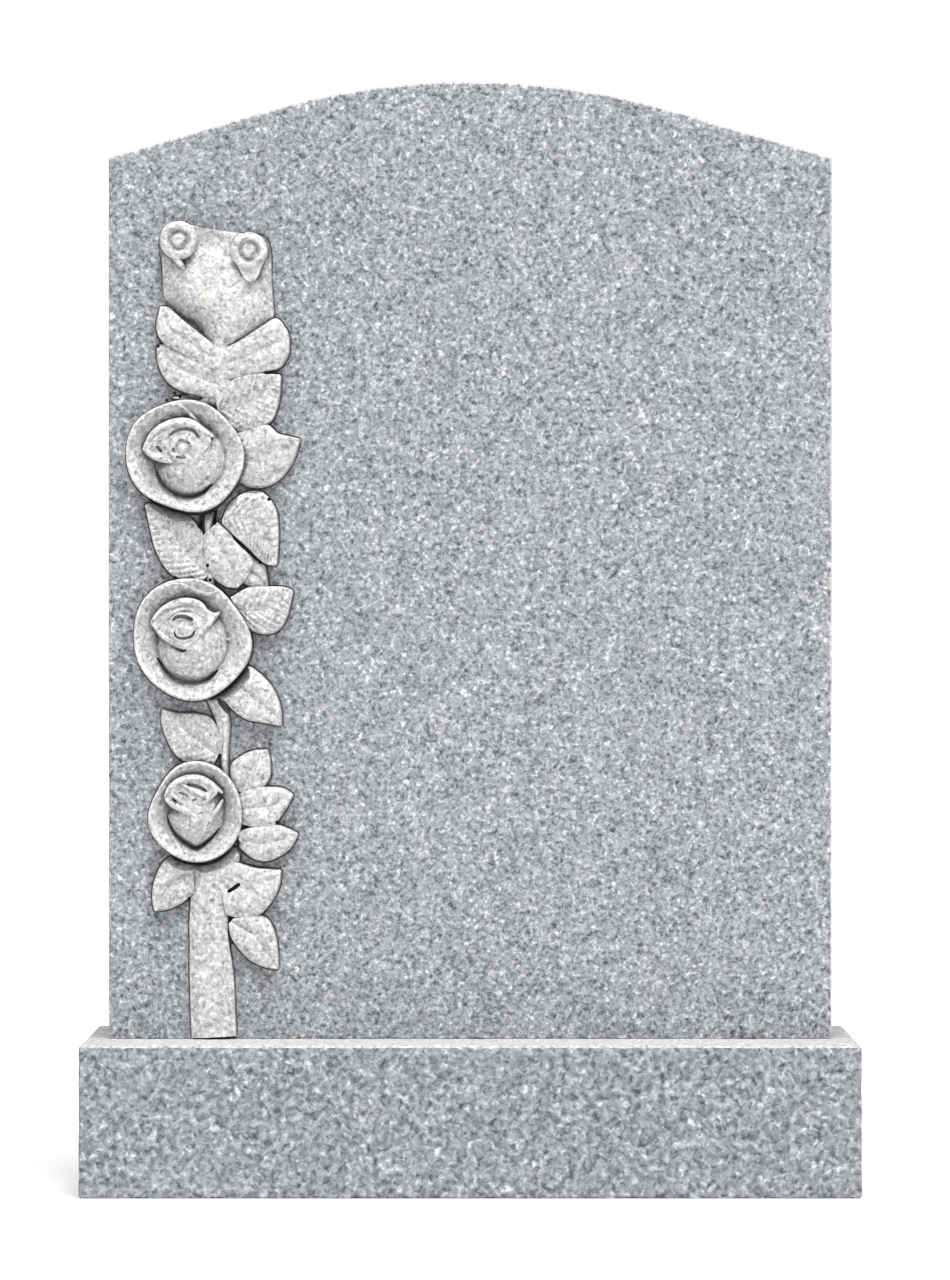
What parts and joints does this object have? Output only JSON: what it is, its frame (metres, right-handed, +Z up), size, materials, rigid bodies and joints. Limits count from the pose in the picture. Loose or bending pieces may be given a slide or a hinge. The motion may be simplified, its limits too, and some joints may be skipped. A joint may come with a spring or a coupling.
{
  "type": "upright granite memorial",
  "caption": "Upright granite memorial: an arched tablet on a wider plain base, with a stem of roses, leaves and a bud carved in high relief up the left of its blank face.",
  "frame": {"origin": "centre of the base's underside", "axes": "+Z up along the memorial's height, +Y from the carved face to the plain back, +X to the right as the carved face is looked at"},
  "size_m": [0.65, 0.304, 0.9343],
  "materials": {
    "base_granite": "fine-sawn grey granite",
    "tablet_granite": "honed grey granite, the carving left fine-axed and paler"
  },
  "bodies": {
    "root": {"base": "base_granite", "tablet": "tablet_granite"}
  },
  "joints": []
}
